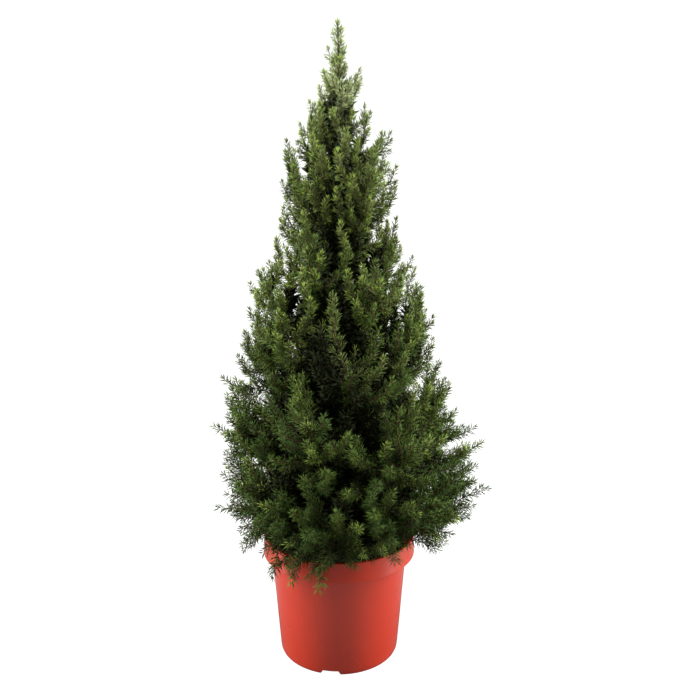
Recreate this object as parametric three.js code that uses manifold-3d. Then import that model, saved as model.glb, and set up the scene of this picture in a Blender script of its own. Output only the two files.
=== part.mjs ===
// A dwarf Alberta spruce in a round nursery pot. Millimetres, +Z up.
// The origin is the centre of the pot's flat underside, and -Y is the front.
import * as THREE from "three";
import { mergeVertices } from "three/addons/utils/BufferGeometryUtils.js";
import Module from "manifold-3d";

const wasm = await Module();
wasm.setup();

// ---- driving dimensions ----

const GAP = 0.3; // running gap between pieces that seat on each other

const POT = {
  baseRadius: 75,
  bodyTopRadius: 85.5,
  collarRadius: 95,
  collarBottom: 130,
  collarEdge: 1.5, // the small rounding of the collar's lower and upper edges
  rimTop: 154,
  lipWidth: 4,
  wall: 2,
  floorThickness: 3,
  channelHeight: 5, // the channel under the floor, between the foot ring and the boss
  footWidth: 4,
  bossRadius: 26,
  sides: 40,
};
const NOTCH = { count: 3, turn: -97.4, bottomWidth: 26, topWidth: 19, height: 4.6 };
const DRAIN = { count: 6, turn: 30, radius: 5, ringRadius: 48, sides: 8 };

const SOIL = { top: 141, shoulder: 2, slope: 6, sides: 30 };

const TRUNK = {
  top: 652,
  baseRadius: 7,
  topRadius: 2,
  flare: 4,
  flareHeight: 9,
  flareRings: [0, 4, 9, 18],
  ringStep: 32,
  sway: 2.5,
  swayLengthX: 410,
  swayLengthY: 560,
  sides: 8,
};

// The crown's outline as height and radius, from the skirt up to the leader's tip.
const CROWN = {
  outline: [
    [120, 106],
    [150, 134],
    [200, 157],
    [265, 156],
    [330, 140],
    [365, 122],
    [450, 112],
    [490, 95],
    [530, 69],
    [620, 66],
    [650, 45],
    [700, 27],
    [730, 12],
    [761, 3],
  ],
  inset: 5, // how far the shoots' tips lie inside the outline that their needles reach
  bulge: 14, // how far the low crown swells to the right
  bulgeHeight: 215,
  bulgeSpan: 95,
  topTilt: 12, // how far the highest and the lowest shoots lean from upright, in degrees
  skirtTilt: 145,
  tiltPower: 5,
};

// Tiers of boughs from the leader down. start: height on the trunk, tip: height of the outermost tip,
// spread: how far neighbours differ in height, turn: where the ring begins, rise: the curve's shape,
// fill: how near the outline the tip lies, bough: the share of the curve that is bare bough,
// core: the size of a dense mass's core.
const TIERS = [
  {
    name: "spire",
    count: 5,
    start: 575,
    tip: 676,
    spread: 20,
    turn: 205,
    rise: 0.2,
    fill: 0.8,
  },
  {
    name: "shoulder",
    count: 5,
    start: 480,
    tip: 606,
    spread: 24,
    turn: 160,
    rise: 0.22,
    fill: 0.85,
  },
  {
    name: "upper",
    count: 6,
    start: 392,
    tip: 490,
    spread: 22,
    turn: 185,
    rise: 0.25,
    fill: 0.85,
    core: 0.6,
  },
  {
    name: "middle",
    count: 7,
    start: 306,
    tip: 398,
    spread: 20,
    turn: 172,
    rise: 0.28,
    fill: 0.86,
    core: 0.7,
  },
  {
    name: "lower",
    count: 7,
    start: 232,
    tip: 305,
    spread: 16,
    turn: 197,
    rise: 0.3,
    fill: 0.86,
    bough: 0.42,
    core: 0.75,
  },
  {
    name: "skirt",
    count: 8,
    start: 180,
    tip: 192,
    spread: 18,
    turn: 168,
    rise: 0.5,
    fill: 0.84,
    bough: 0.42,
    core: 0.75,
  },
];

// Lone shoots that stand out of the crown: turn and tilt in degrees, and where the tip lies.
const LONE_SHOOTS = [
  { turn: 181, height: 352, radius: 142, tilt: 45 },
  { turn: 176, height: 288, radius: 158, tilt: 60 },
  { turn: 184, height: 188, radius: 152, tilt: 85 },
  { turn: 178, height: 150, radius: 127, tilt: 120 },
  { turn: -3, height: 292, radius: 167, tilt: 50 },
  { turn: 4, height: 266, radius: 181, tilt: 55 },
  { turn: -2, height: 212, radius: 186, tilt: 75 },
  { turn: 2, height: 134, radius: 138, tilt: 125 },
  { turn: -102, height: 123, radius: 113, tilt: 163 },
  { turn: -119, height: 127, radius: 112, tilt: 160 },
  { turn: -134, height: 127, radius: 112, tilt: 158 },
  { turn: 186, height: 676, radius: 33, tilt: 12 },
  { turn: -4, height: 711, radius: 25, tilt: 14 },
  { turn: 175, height: 709, radius: 15, tilt: 10 },
  { turn: 2, height: 642, radius: 60, tilt: 10 },
  { turn: 179, height: 633, radius: 60, tilt: 8 },
];

// A bough is a limb's bare inner stretch, and a stem its stretch inside the mass.
const BOUGH = { baseRadius: 3.4, tipRadius: 2.3, sides: 5, steps: 4 };
const STEM = { baseRadius: 2.3, tipRadius: 1.9, sides: 4, steps: 4, end: 0.8, leaderEnd: 0.36 };
const LIMB_BEND = 0.62; // how far out along a limb its curve bends upward
const TWIG = { radius: 1.1, bendCost: 30 }; // a twig may grow this much longer so as to bend less

// A spray: a slim core drawn out into needles that point forwards.
const SPRAY = {
  count: 250,
  length: 50,
  coreRadius: 3,
  reach: 11.5, // from the shoot's axis to the needles' tips
  forward: 7,
  needlesPerWhorl: 2,
  whorls: [0.16, 0.56],
  sizes: [1, 0.84, 0.68],
  loneSizes: [1, 0.84, 0.68, 0.5],
  tries: 3,
  shift: 11, // how far a tip that finds no room is moved before it is tried again
  sway: 0.25, // how much neighbours' tilts differ, in radians
  topClear: 30, // no side shoot's tip stands closer to the leader's
  narrowExtra: 22, // gives the narrow top its share of shoots
};
const CORE = { depth: 46, rind: 8, farthest: 75, step: 2, inset: 2.2, sleeve: 1, heart: 0.42 };
const KEEP = 0.7; // how much nearer to its own stem than to any other a mass's points lie
const LIMB_CLEAR = 0.4; // added to KEEP beside the trunk and the boughs
const RIM_CLEAR = 3; // how far foliage stays from the pot
const WELD = 1e-4; // vertices nearer than this count as one
const SEED = 2718;

// ---- small helpers ----

const v3 = (x, y, z) => new THREE.Vector3(x, y, z);
const rad = THREE.MathUtils.degToRad;
const lerp = THREE.MathUtils.lerp;
const GOLDEN = rad(137.508);

function seeded(seed) {
  let state = seed >>> 0;
  return () => {
    state = (Math.imul(state, 1664525) + 1013904223) >>> 0;
    return state / 4294967296;
  };
}
const random = seeded(SEED);

const outward = (turn) => v3(Math.cos(turn), Math.sin(turn), 0);

function directionOf(turn, tilt) {
  return outward(turn).multiplyScalar(Math.sin(tilt)).setZ(Math.cos(tilt));
}

function samples(curve, from, to, count) {
  return Array.from({ length: count + 1 }, (_, i) => curve.getPoint(lerp(from, to, i / count)));
}

function distanceTo(point, line) {
  const segment = new THREE.Line3();
  const at = v3();
  let least = Infinity;
  for (let i = 0; i + 1 < line.length; i++) {
    segment.set(line[i], line[i + 1]).closestPointToPoint(point, true, at);
    least = Math.min(least, at.distanceTo(point));
  }
  return least;
}

function bareMesh(geometry, tolerance) {
  geometry.deleteAttribute("normal");
  geometry.deleteAttribute("uv");
  return mergeVertices(geometry, tolerance);
}

function solidOf(geometry) {
  const { attributes, index } = bareMesh(geometry, WELD);
  return new wasm.Manifold(
    new wasm.Mesh({
      numProp: 3,
      vertProperties: attributes.position.array,
      triVerts: new Uint32Array(index.array),
    }),
  );
}

function geometryOf(solid) {
  const { numProp, vertProperties, triVerts } = solid.getMesh();
  const points = new Float32Array((vertProperties.length / numProp) * 3);
  for (let i = 0; i * 3 < points.length; i++)
    points.set(vertProperties.subarray(i * numProp, i * numProp + 3), i * 3);
  return new THREE.BufferGeometry()
    .setAttribute("position", new THREE.BufferAttribute(points, 3))
    .setIndex(new THREE.BufferAttribute(new Uint32Array(triVerts), 1));
}

// A closed skin through rings of points that run anticlockwise seen from the last ring.
// A ring of one point is a sharp end, and any other end is closed by a fan.
function loft(rings) {
  const corners = [];
  const push = (...points) => points.forEach((p) => corners.push(p.x, p.y, p.z));
  const middle = (ring) => ring.reduce((sum, p) => sum.add(p), v3()).divideScalar(ring.length);
  const closed = [...rings];
  if (rings[0].length > 1) closed.unshift([middle(rings[0])]);
  if (rings.at(-1).length > 1) closed.push([middle(rings.at(-1))]);
  for (let r = 0; r + 1 < closed.length; r++) {
    const [low, high] = [closed[r], closed[r + 1]];
    const n = Math.max(low.length, high.length);
    for (let k = 0; k < n; k++) {
      const next = (k + 1) % n;
      if (low.length > 1) push(low[k], low[next], high[high.length > 1 ? next : 0]);
      if (high.length > 1) push(low[low.length > 1 ? k : 0], high[next], high[k]);
    }
  }
  return new THREE.BufferGeometry().setAttribute(
    "position",
    new THREE.Float32BufferAttribute(corners, 3),
  );
}

// The level direction that is square to a tangent.
function levelOf(tangent) {
  const level = v3(0, 0, 1).cross(tangent);
  return level.lengthSq() < 1e-6 ? v3(1, 0, 0) : level.normalize();
}

// A ring of points about a tangent. The first lies towards side, as far as the tangent lets it.
function ringAt(centre, tangent, radius, sides, side = levelOf(tangent)) {
  const upright = tangent.clone().cross(side).normalize();
  const level = upright.clone().cross(tangent);
  return Array.from({ length: sides }, (_, k) => {
    const angle = (2 * Math.PI * k) / sides;
    return centre
      .clone()
      .addScaledVector(level, radius * Math.cos(angle))
      .addScaledVector(upright, radius * Math.sin(angle));
  });
}

function taper(curve, from, to, startRadius, endRadius, sides, steps) {
  const rings = [];
  for (let i = 0; i <= steps; i++) {
    const t = lerp(from, to, i / steps);
    const radius = lerp(startRadius, endRadius, i / steps);
    rings.push(ringAt(curve.getPoint(t), curve.getTangent(t), radius, sides));
  }
  return loft(rings);
}

// ---- the pot and what fills it ----

const potSlope = (POT.bodyTopRadius - POT.baseRadius) / POT.collarBottom;
const potRadius = (height) => POT.baseRadius + potSlope * height;
const floorTop = POT.channelHeight + POT.floorThickness;

function lathe(profile, sides) {
  const points = profile.map(([r, h]) => new THREE.Vector2(r, h));
  return solidOf(new THREE.LatheGeometry(points, sides).rotateX(Math.PI / 2));
}

function pot() {
  const p = POT;
  const ledge = p.collarBottom + p.wall;
  let body = lathe(
    [
      [0, 0],
      [p.bossRadius, 0],
      [p.bossRadius + 2, p.channelHeight],
      [p.baseRadius - p.footWidth - 1, p.channelHeight],
      [p.baseRadius - p.footWidth, 0],
      [p.baseRadius, 0],
      [potRadius(p.collarBottom), p.collarBottom],
      [p.collarRadius - 1, p.collarBottom],
      [p.collarRadius, p.collarBottom + p.collarEdge],
      [p.collarRadius, p.rimTop - p.collarEdge],
      [p.collarRadius - p.collarEdge, p.rimTop],
      [p.collarRadius - p.lipWidth, p.rimTop],
      [p.collarRadius - p.lipWidth, ledge + 2],
      [potRadius(p.collarBottom) - p.wall, ledge],
      [potRadius(floorTop) - p.wall, floorTop],
      [0, floorTop],
    ],
    p.sides,
  );
  for (let i = 0; i < NOTCH.count; i++)
    body = body.subtract(notch(rad(NOTCH.turn + (360 * i) / NOTCH.count)));
  for (let i = 0; i < DRAIN.count; i++)
    body = body.subtract(drain(rad(DRAIN.turn + (360 * i) / DRAIN.count)));
  return body;
}

// The wedge that is cut up into the foot ring at one notch, a little past its lower edge.
function notch(turn) {
  const below = 1;
  const low = NOTCH.bottomWidth / 2 + below;
  const high = NOTCH.topWidth / 2;
  const shape = new THREE.Shape([
    new THREE.Vector2(-low, -below),
    new THREE.Vector2(low, -below),
    new THREE.Vector2(high, NOTCH.height),
    new THREE.Vector2(-high, NOTCH.height),
  ]);
  const depth = 3 * POT.footWidth;
  return solidOf(
    new THREE.ExtrudeGeometry(shape, { depth, bevelEnabled: false })
      .rotateX(Math.PI / 2)
      .translate(0, -(POT.baseRadius - 1.5 * POT.footWidth), 0)
      .rotateZ(turn + Math.PI / 2),
  );
}

function drain(turn) {
  const at = outward(turn).multiplyScalar(DRAIN.ringRadius).setZ(floorTop);
  return solidOf(
    new THREE.CylinderGeometry(DRAIN.radius, DRAIN.radius, 2 * floorTop, DRAIN.sides)
      .rotateX(Math.PI / 2)
      .translate(at.x, at.y, at.z),
  );
}

function soil() {
  // The pot's flats cut across its circle, so the soil keeps its gap to their middles.
  const inside = (h) => (potRadius(h) - POT.wall) * Math.cos(Math.PI / POT.sides) - GAP;
  return lathe(
    [
      [0, floorTop + GAP],
      [inside(floorTop), floorTop + GAP],
      [inside(POT.collarBottom), POT.collarBottom],
      [inside(POT.collarBottom), SOIL.top - SOIL.shoulder],
      [inside(POT.collarBottom) - SOIL.slope, SOIL.top],
      [0, SOIL.top],
    ],
    SOIL.sides,
  );
}

// ---- the trunk ----

function trunkAxis(height) {
  const up = 2 * Math.PI * (height - SOIL.top);
  const sway = TRUNK.sway;
  return v3(sway * Math.sin(up / TRUNK.swayLengthX), sway * Math.sin(up / TRUNK.swayLengthY), height);
}

function trunkRadius(height) {
  const up = height - SOIL.top;
  const taperTo = lerp(TRUNK.baseRadius, TRUNK.topRadius, up / (TRUNK.top - SOIL.top));
  return taperTo + TRUNK.flare * Math.exp(-up / TRUNK.flareHeight);
}

// extra makes it thicker, as the sleeve that the cores are cut with.
function trunk(extra = 0) {
  const heights = TRUNK.flareRings.map((up) => SOIL.top + GAP + up);
  while (heights.at(-1) + TRUNK.ringStep < TRUNK.top) heights.push(heights.at(-1) + TRUNK.ringStep);
  heights.push(TRUNK.top);
  const up = v3(0, 0, 1);
  const rings = heights.map((h) => ringAt(trunkAxis(h), up, trunkRadius(h) + extra, TRUNK.sides));
  return solidOf(loft(rings));
}

// ---- the crown's form ----

const crownFoot = CROWN.outline[0][0];
const crownTop = CROWN.outline.at(-1)[0];

function crownRadius(height) {
  if (height <= crownFoot) return CROWN.outline[0][1];
  if (height >= crownTop) return CROWN.outline.at(-1)[1];
  const i = CROWN.outline.findIndex(([h]) => h > height);
  const [[lowH, lowR], [highH, highR]] = [CROWN.outline[i - 1], CROWN.outline[i]];
  return lerp(lowR, highR, (height - lowH) / (highH - lowH));
}

function crownCentre(height) {
  const off = (height - CROWN.bulgeHeight) / CROWN.bulgeSpan;
  return v3(CROWN.bulge * Math.exp(-off * off), 0, height);
}

function inCrown(height, turn, radius) {
  return crownCentre(height).addScaledVector(outward(turn), radius);
}

// How far from upright a shoot's tip leans at a height, in radians.
function tiltAt(height) {
  const share = (crownTop - height) / (crownTop - crownFoot);
  return rad(lerp(CROWN.topTilt, CROWN.skirtTilt, share ** CROWN.tiltPower));
}

// ---- the limbs: each is a curve from the trunk out to its mass's tip ----

function leaderLimb() {
  const foot = trunkAxis(TRUNK.top).setZ(TRUNK.top + GAP);
  const tip = crownCentre(crownTop);
  const curve = new THREE.QuadraticBezierCurve3(foot, foot.clone().lerp(tip, 0.5), tip);
  return { name: "leader", curve, start: 0, end: STEM.leaderEnd, core: 0 };
}

function tierLimb(tier, i) {
  const { name, bough = 0, core = 0 } = tier;
  const side = i % 2 ? 1 : -1;
  const turn = rad(tier.turn + (360 * i) / tier.count) + 0.16 * (random() - 0.5);
  const start = tier.start + 0.4 * side * tier.spread;
  const tipHeight = tier.tip + side * tier.spread + 8 * (random() - 0.5);
  const tip = inCrown(tipHeight, turn, tier.fill * crownRadius(tipHeight));
  const bend = trunkAxis(start).lerp(tip, LIMB_BEND);
  bend.z = lerp(start, tipHeight, tier.rise);
  // A limb that leaves at a slant has its lower or upper edge nearer to the trunk than its middle.
  const slant = Math.abs(bend.z - start) / bend.distanceTo(trunkAxis(start));
  const thick = bough ? BOUGH.baseRadius : STEM.baseRadius;
  const seat = trunkRadius(start) + GAP + thick * slant;
  const foot = trunkAxis(start).addScaledVector(outward(turn), seat);
  const curve = new THREE.QuadraticBezierCurve3(foot, bend, tip);
  return { name: `${name}_${i + 1}`, curve, start: bough, end: STEM.end, core };
}

const limbs = [
  leaderLimb(),
  ...TIERS.flatMap((tier) => Array.from({ length: tier.count }, (_, i) => tierLimb(tier, i))),
];
for (const limb of limbs) {
  limb.line = samples(limb.curve, limb.start, 1, 14);
  limb.stemLine = samples(limb.curve, lerp(limb.start, 1, 0.06), limb.end - 0.04, 16);
  limb.boughLine = limb.start > 0 ? samples(limb.curve, 0, limb.start, 6) : null;
}

function boughSolid(limb, extra = 0) {
  const end = limb.start - (GAP - extra) / limb.curve.getLength();
  const [low, high] = [BOUGH.baseRadius + extra, BOUGH.tipRadius + extra];
  return solidOf(taper(limb.curve, 0, end, low, high, BOUGH.sides, BOUGH.steps));
}

// ---- the space of each mass ----

// True where a point is nearer to the mass's own limb than to any other, and clear of pot and limbs.
function keeps(point, mass, margin) {
  const own = distanceTo(point, mass.line);
  return (
    limbs.every((other) => other === mass || distanceTo(point, other.line) >= own + margin) &&
    clearOfLimbs(point, margin + LIMB_CLEAR) &&
    !(point.z < POT.rimTop + RIM_CLEAR && Math.hypot(point.x, point.y) < POT.collarRadius + RIM_CLEAR)
  );
}

function clearOfLimbs(point, margin) {
  const beside = trunkAxis(THREE.MathUtils.clamp(point.z, SOIL.top, TRUNK.top));
  if (point.distanceTo(beside) < trunkRadius(beside.z) + margin) return false;
  return limbs.every(
    ({ boughLine }) => !boughLine || distanceTo(point, boughLine) > BOUGH.baseRadius + margin,
  );
}

// ---- sprays and the twigs that carry them ----

// The twig leaves its stem at the joint, and past the root its core is drawn out into needles.
// Each whorl's needles stand over the gaps of the whorl before it.
function sprayRings(joint, root, tip, reach) {
  const direction = tip.clone().sub(root).normalize();
  const lead = root.clone().sub(joint).normalize();
  const bent = lead.clone().add(direction).normalize();
  const side = levelOf(direction);
  const n = 2 * SPRAY.needlesPerWhorl;
  const whorls = SPRAY.whorls.map((share, i) => {
    const centre = root.clone().lerp(tip, share);
    return ringAt(centre, direction, 1, n, side).map((p, k) => {
      const isNeedle = (k + i) % 2 === 0;
      const out = p.clone().sub(centre);
      return centre
        .clone()
        .addScaledVector(out, isNeedle ? reach : SPRAY.coreRadius)
        .addScaledVector(direction, isNeedle ? SPRAY.forward : 0);
    });
  });
  const twig = [ringAt(joint, lead, TWIG.radius, n, side), ringAt(root, bent, TWIG.radius, n, side)];
  return [...twig, ...whorls, [tip]];
}

// The middles of the edges that cross from each ring to the next.
function middlesOf(rings) {
  return rings
    .slice(1)
    .flatMap((high, r) => rings[r].map((p, k) => p.clone().lerp(high[(k + 1) % high.length], 0.5)));
}

// The point of a stem from which a twig reaches a root with the least bend.
function jointFor(mass, root, direction) {
  const cost = (p) => {
    const run = root.clone().sub(p);
    const reach = run.length();
    return reach + TWIG.bendCost * (1 - run.dot(direction) / reach);
  };
  return mass.stemLine.reduce((best, p) => (cost(p) < cost(best) ? p : best));
}

// Grows a spray that ends at a tip, from one of the two nearest masses, if it keeps to that mass's space.
function growSpray(tip, direction, sizes) {
  const ranked = limbs
    .map((mass) => ({ mass, distance: distanceTo(tip, mass.line) }))
    .sort((a, b) => a.distance - b.distance)
    .slice(0, 2);
  for (const size of sizes)
    for (const { mass } of ranked) {
      const root = tip.clone().addScaledVector(direction, -SPRAY.length * size);
      const joint = jointFor(mass, root, direction);
      const rings = sprayRings(joint, root, tip, SPRAY.reach * size);
      const twigMarks = samples(new THREE.LineCurve3(joint, root), 0.2, 1, 5);
      const body = rings.slice(1);
      const marks = [...body.flat(), ...middlesOf(body), ...twigMarks];
      if (marks.every((p) => keeps(p, mass, KEEP))) return { mass, rings };
    }
  return null;
}

// Where the shoots' tips go: round the crown by the golden angle, as thick low down as high up.
function crownShoots() {
  const covered = [0];
  for (let h = crownFoot; h < crownTop - SPRAY.topClear; h++)
    covered.push(covered.at(-1) + crownRadius(h) + SPRAY.narrowExtra);
  return Array.from({ length: SPRAY.count }, (_, k) => {
    const target = ((k + 0.5) / SPRAY.count) * covered.at(-1);
    const height = crownFoot + covered.findIndex((c) => c >= target);
    return { height, turn: k * GOLDEN, tilt: tiltAt(height) + SPRAY.sway * (random() - 0.5) };
  });
}

function growCrownShoot({ height, turn, tilt }) {
  for (let t = 0; t < SPRAY.tries; t++) {
    const high = height + SPRAY.shift * (random() - 0.5) * (t + 0.5);
    const radius = crownRadius(high) - CROWN.inset * (0.4 + random());
    const aside = turn + (SPRAY.shift / radius) * (random() - 0.5) * t;
    const grown = growSpray(inCrown(high, aside, radius), directionOf(turn, tilt), SPRAY.sizes);
    if (grown) return grown;
  }
  return null;
}

function growLoneShoot({ turn, height, radius, tilt }) {
  const tip = outward(rad(turn)).multiplyScalar(radius).setZ(height);
  return growSpray(tip, directionOf(rad(turn), rad(tilt)), SPRAY.loneSizes);
}

// ---- the masses ----

// What every core is cut clear of.
const sleeves = [
  trunk(CORE.sleeve),
  ...limbs.filter(({ boughLine }) => boughLine).map((limb) => boughSolid(limb, CORE.sleeve)),
];

// A dense mass's core: a ball about the mass's heart whose corners reach as far as its space lets them.
function core(mass) {
  const heart = mass.curve.getPoint(lerp(mass.start, 1, CORE.heart));
  const ball = bareMesh(new THREE.IcosahedronGeometry(1, 0), WELD);
  const corners = ball.attributes.position;
  const inside = (point) => {
    const centre = crownCentre(point.z);
    const depth = crownRadius(point.z) - Math.hypot(point.x - centre.x, point.y - centre.y);
    const high = point.z > POT.rimTop + CORE.inset;
    return high && depth > CORE.depth * mass.core + CORE.rind && keeps(point, mass, CORE.inset);
  };
  const out = v3();
  for (let i = 0; i < corners.count; i++) {
    out.fromBufferAttribute(corners, i).normalize();
    let reach = 2 * CORE.step;
    while (reach < CORE.farthest && inside(heart.clone().addScaledVector(out, reach + CORE.step)))
      reach += CORE.step;
    const corner = heart.clone().addScaledVector(out, reach);
    corners.setXYZ(i, corner.x, corner.y, corner.z);
  }
  return sleeves.reduce((solid, sleeve) => solid.subtract(sleeve), solidOf(ball));
}

// Joins a piece on, or leaves it off where the two would only meet along an edge.
function fuse(solid, piece) {
  const joined = solid.add(piece);
  return isSound(joined) ? joined : solid;
}

// True where every edge is shared by exactly two triangles once near vertices are merged.
function isSound(solid) {
  const { array } = mergeVertices(geometryOf(solid), WELD).index;
  const uses = new Map();
  for (let i = 0; i < array.length; i += 3) {
    const [a, b, c] = [array[i], array[i + 1], array[i + 2]].sort((p, q) => p - q);
    if (a === b || b === c) continue;
    for (const edge of [`${a} ${b}`, `${b} ${c}`, `${a} ${c}`])
      uses.set(edge, (uses.get(edge) ?? 0) + 1);
  }
  return [...uses.values()].every((n) => n === 2);
}

function massSolid(mass, sprays) {
  const { baseRadius, tipRadius, sides, steps } = STEM;
  const { curve, start, end } = mass;
  const tipRings = sprayRings(
    curve.getPoint(end - 0.06),
    curve.getPoint(end),
    curve.getPoint(1),
    0.8 * SPRAY.reach,
  );
  let solid = solidOf(taper(curve, start, end, baseRadius, tipRadius, sides, steps));
  if (mass.core) solid = fuse(solid, core(mass));
  for (const rings of [tipRings, ...sprays]) solid = fuse(solid, solidOf(loft(rings)));
  const [largest] = solid.decompose().sort((a, b) => b.volume() - a.volume());
  return largest;
}

// ---- the plant ----

const MATERIALS = {
  pot: new THREE.MeshStandardMaterial({ color: "#c4402f", roughness: 0.3, metalness: 0 }),
  soil: new THREE.MeshStandardMaterial({ color: "#2c211a", roughness: 0.95, metalness: 0 }),
  bark: new THREE.MeshStandardMaterial({ color: "#5b4636", roughness: 0.9, metalness: 0 }),
  needles: new THREE.MeshStandardMaterial({ color: "#3d5428", roughness: 0.55, metalness: 0 }),
};

const plant = new THREE.Group();

function addNode(name, solid, material) {
  const mesh = new THREE.Mesh(geometryOf(solid), MATERIALS[material]);
  mesh.name = name;
  plant.add(mesh);
}

addNode("pot", pot(), "pot");
addNode("soil", soil(), "soil");
addNode("trunk", trunk(), "bark");

const grown = [...LONE_SHOOTS.map(growLoneShoot), ...crownShoots().map(growCrownShoot)];
for (const limb of limbs) {
  if (limb.boughLine) addNode(`bough_${limb.name}`, boughSolid(limb), "bark");
  const sprays = grown.filter((one) => one?.mass === limb).map(({ rings }) => rings);
  addNode(`foliage_${limb.name}`, massSolid(limb, sprays), "needles");
}

export default plant;
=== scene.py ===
"""A dwarf Alberta spruce in a red nursery pot: the plant's looks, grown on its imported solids."""

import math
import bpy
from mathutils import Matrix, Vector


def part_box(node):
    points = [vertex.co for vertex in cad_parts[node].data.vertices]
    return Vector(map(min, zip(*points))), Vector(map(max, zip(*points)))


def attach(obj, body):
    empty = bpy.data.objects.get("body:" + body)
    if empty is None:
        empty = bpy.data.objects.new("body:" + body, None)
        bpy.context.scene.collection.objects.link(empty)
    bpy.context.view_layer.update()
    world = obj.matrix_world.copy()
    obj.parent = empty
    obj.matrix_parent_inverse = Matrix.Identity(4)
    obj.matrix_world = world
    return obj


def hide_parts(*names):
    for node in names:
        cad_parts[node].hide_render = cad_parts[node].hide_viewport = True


bl_info = {
    "name": "Potted dwarf spruce",
    "version": (1, 0, 0),
    "blender": (4, 5, 0),
    "location": "3D View > Sidebar > Spruce",
    "description": "Models a potted dwarf spruce: pot, compost, bark, twigs and needles",
    "category": "Object",
}

import bpy
import numpy as np
from mathutils import Quaternion, Vector

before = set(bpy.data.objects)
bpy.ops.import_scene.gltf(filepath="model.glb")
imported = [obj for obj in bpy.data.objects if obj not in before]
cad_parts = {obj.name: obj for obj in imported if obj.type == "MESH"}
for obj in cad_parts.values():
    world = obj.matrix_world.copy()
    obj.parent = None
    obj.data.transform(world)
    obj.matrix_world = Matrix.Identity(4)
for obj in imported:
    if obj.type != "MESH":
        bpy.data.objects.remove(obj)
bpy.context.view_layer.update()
POT_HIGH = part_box("pot")[1]
SOIL_LOW, SOIL_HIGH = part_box("soil")

MM = 0.001
MASS_NODES = sorted(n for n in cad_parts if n.startswith("foliage_"))
BOUGH_NODES = sorted(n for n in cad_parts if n.startswith("bough_"))
GOLDEN = math.radians(137.508)


# ---- sizes and colours that a user would change ----


def length(name, description, default):
    """A size in metres."""
    return bpy.props.FloatProperty(
        name=name, description=description, default=default, unit="LENGTH", precision=4
    )


def count(name, description, default):
    """A whole number."""
    return bpy.props.IntProperty(name=name, description=description, default=default)


def colour(name, description, default):
    """A linear colour."""
    return bpy.props.FloatVectorProperty(
        name=name, description=description, default=default, subtype="COLOR", size=3, min=0, max=1
    )


class SpruceSizes(bpy.types.PropertyGroup):
    """Sizes of the plant's parts."""

    pot_sides: count("Pot sides", "Facets round the pot before smoothing", 144)
    pot_wall: length("Pot wall", "Thickness of the pot's wall", 0.002)
    pot_edge: length("Pot edge", "Radius of the pot's rounded edges", 0.0006)
    collar_bead: length("Collar bead", "How far the bead under the collar stands out", 0.0006)
    spires: count("Spires", "Upright shoots that make the crown's surface", 620)
    inner_shoots: count("Inner shoots", "Old shoots that fill the crown behind its surface", 940)
    spire_clad: length("Clad length", "How far down a spire needles and side shoots reach", 0.085)
    side_spacing: length("Side shoot spacing", "Distance between side shoots on a spire", 0.0095)
    needle_length: length("Needle length", "Length of a full needle", 0.0112)
    needle_width: length("Needle width", "Width of a full needle", 0.00115)
    needle_spacing: length("Needle spacing", "Length of green shoot per needle", 0.00074)
    inner_width: length("Inner needle width", "Width of a needle deep in the crown", 0.0031)
    inner_spacing: length("Inner spacing", "Length of shoot per needle deep in the crown", 0.0010)
    twig_radius: length("Twig radius", "Radius of a shoot under its needles", 0.0008)


class SpruceColours(bpy.types.PropertyGroup):
    """Colours of the plant's parts."""

    pot: colour("Pot", "Red plastic", (0.56, 0.034, 0.010))
    soil: colour("Compost", "Dark potting compost", (0.03, 0.018, 0.011))
    bark: colour("Bark", "Trunk and boughs", (0.062, 0.036, 0.021))
    twig: colour("Twig", "Young orange-brown shoots", (0.115, 0.066, 0.022))
    # inner needles: the old needles' own dark green, darkened further as painted shade of the
    # crown's depths
    inner: colour("Inner needles", "Old needles inside the crown", (0.027, 0.036, 0.010))
    # deep, mid, pale and crest needles grow lighter with height, partly as their own colour and
    # partly as painted light from above
    deep: colour("Deep needles", "Needles of the low crown", (0.060, 0.108, 0.018))
    mid: colour("Mid needles", "Needles of the middle crown", (0.084, 0.136, 0.020))
    pale: colour("Pale needles", "Needles of the upper crown", (0.132, 0.186, 0.040))
    crest: colour("Crest needles", "Grey-green needles of the leader", (0.285, 0.352, 0.140))
    tips: colour("Tip needles", "Young needles at the shoots' tips", (0.200, 0.280, 0.048))


# ---- the plant's limbs, by the same rule as its solids; millimetres, and degrees for turns ----

SEED = 2718
SOIL_TOP = SOIL_HIGH.z / MM
RIM_TOP = POT_HIGH.z / MM
COLLAR_RADIUS = POT_HIGH.x / MM

GAP = 0.3  # between the trunk and what grows from it
TRUNK = {
    "top": 652,
    "base": 7,
    "tip": 2,
    "flare": 4,
    "flare_height": 9,
    "sway": 2.5,
    "wave_x": 410,
    "wave_y": 560,
}
# heights, and the crown's radius at each
OUTLINE = [
    (120, 106),
    (150, 134),
    (200, 157),
    (265, 156),
    (330, 140),
    (365, 122),
    (450, 112),
    (490, 95),
    (530, 69),
    (620, 66),
    (650, 45),
    (700, 27),
    (730, 12),
    (761, 3),
]
CROWN_HEIGHTS, CROWN_RADII = zip(*OUTLINE)
CROWN_LOW, CROWN_TOP = CROWN_HEIGHTS[0], CROWN_HEIGHTS[-1]
BULGE = {"reach": 14, "height": 215, "span": 95}  # of the low crown, towards +X
TILT = {"top": 12, "skirt": 145, "power": 5}  # of the shoots, from upright
# start and tip are heights, and bough is the part of a limb that is bare
TIER_COLUMNS = ("name", "count", "start", "tip", "spread", "turn", "rise", "fill", "bough")
TIERS = [
    dict(zip(TIER_COLUMNS, row))
    for row in (
        ("spire", 5, 575, 676, 20, 205, 0.2, 0.8, 0),
        ("shoulder", 5, 480, 606, 24, 160, 0.22, 0.85, 0),
        ("upper", 6, 392, 490, 22, 185, 0.25, 0.85, 0),
        ("middle", 7, 306, 398, 20, 172, 0.28, 0.86, 0),
        ("lower", 7, 232, 305, 16, 197, 0.3, 0.86, 0.42),
        ("skirt", 8, 180, 192, 18, 168, 0.5, 0.84, 0.42),
    )
]
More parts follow.
